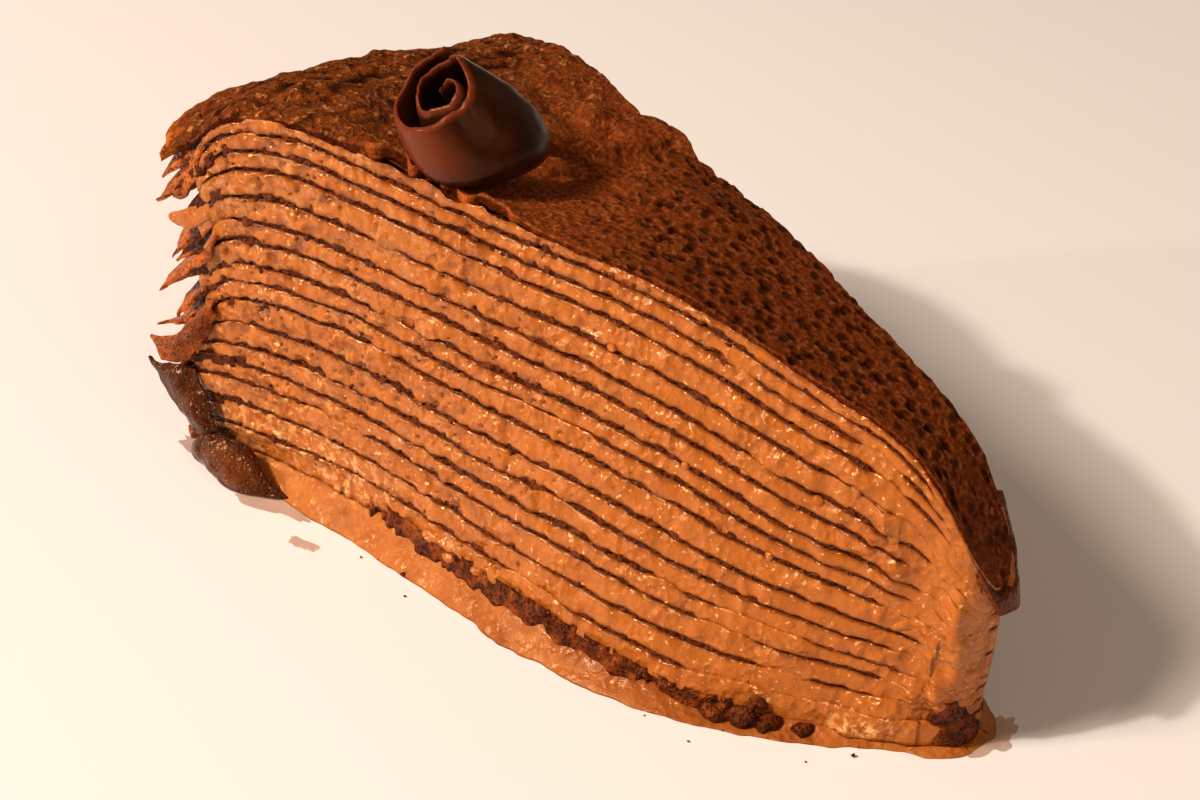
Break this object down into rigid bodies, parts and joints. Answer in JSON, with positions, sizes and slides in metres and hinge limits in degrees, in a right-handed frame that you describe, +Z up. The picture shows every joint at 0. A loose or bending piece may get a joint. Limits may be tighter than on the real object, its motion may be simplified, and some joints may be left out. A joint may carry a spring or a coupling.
{
  "type": "crepe cake slice",
  "caption": "Wedge of chocolate crepe cake: thin dark crepes stacked with chocolate cream, loose crepe edges at the rim, a slumped tip and a rolled chocolate curl on top.",
  "frame": {"origin": "middle of the bounding box at the plate", "axes": "+X along the slice from the cake's rim to its tip, -Y towards the near cut face, +Z up"},
  "size_m": [0.1168, 0.0546, 0.0674],
  "materials": {
    "crepe": "dark, porous cut crepe edges, slightly moist",
    "top_crepe": "matt, velvety, finely pitted brown crepe",
    "cream": "glossy whipped chocolate cream with small bubbles",
    "cream_skirt": "smeared wet cream",
    "chocolate": "glossy dark chocolate with a soft bloom"
  },
  "bodies": {
    "root": {"base_cream": "cream_skirt", "crepe_01": "crepe", "cream_01": "cream", "crepe_02": "crepe", "cream_02": "cream", "crepe_03": "crepe", "cream_03": "cream", "crepe_04": "crepe", "cream_04": "cream", "crepe_05": "crepe", "cream_05": "cream", "crepe_06": "crepe", "cream_06": "cream", "crepe_07": "crepe", "cream_07": "cream", "crepe_08": "crepe", "cream_08": "cream", "crepe_09": "crepe", "cream_09": "cream", "crepe_10": "crepe", "cream_10": "cream", "crepe_11": "crepe", "cream_11": "cream", "crepe_12": "crepe", "cream_12": "cream", "crepe_13": "crepe", "cream_13": "cream", "crepe_14": "crepe", "cream_14": "cream", "crepe_15": "crepe", "cream_15": "cream", "crepe_16": "crepe", "cream_16": "cream", "crepe_17": "top_crepe", "chocolate_curl": "chocolate"}
  },
  "joints": []
}
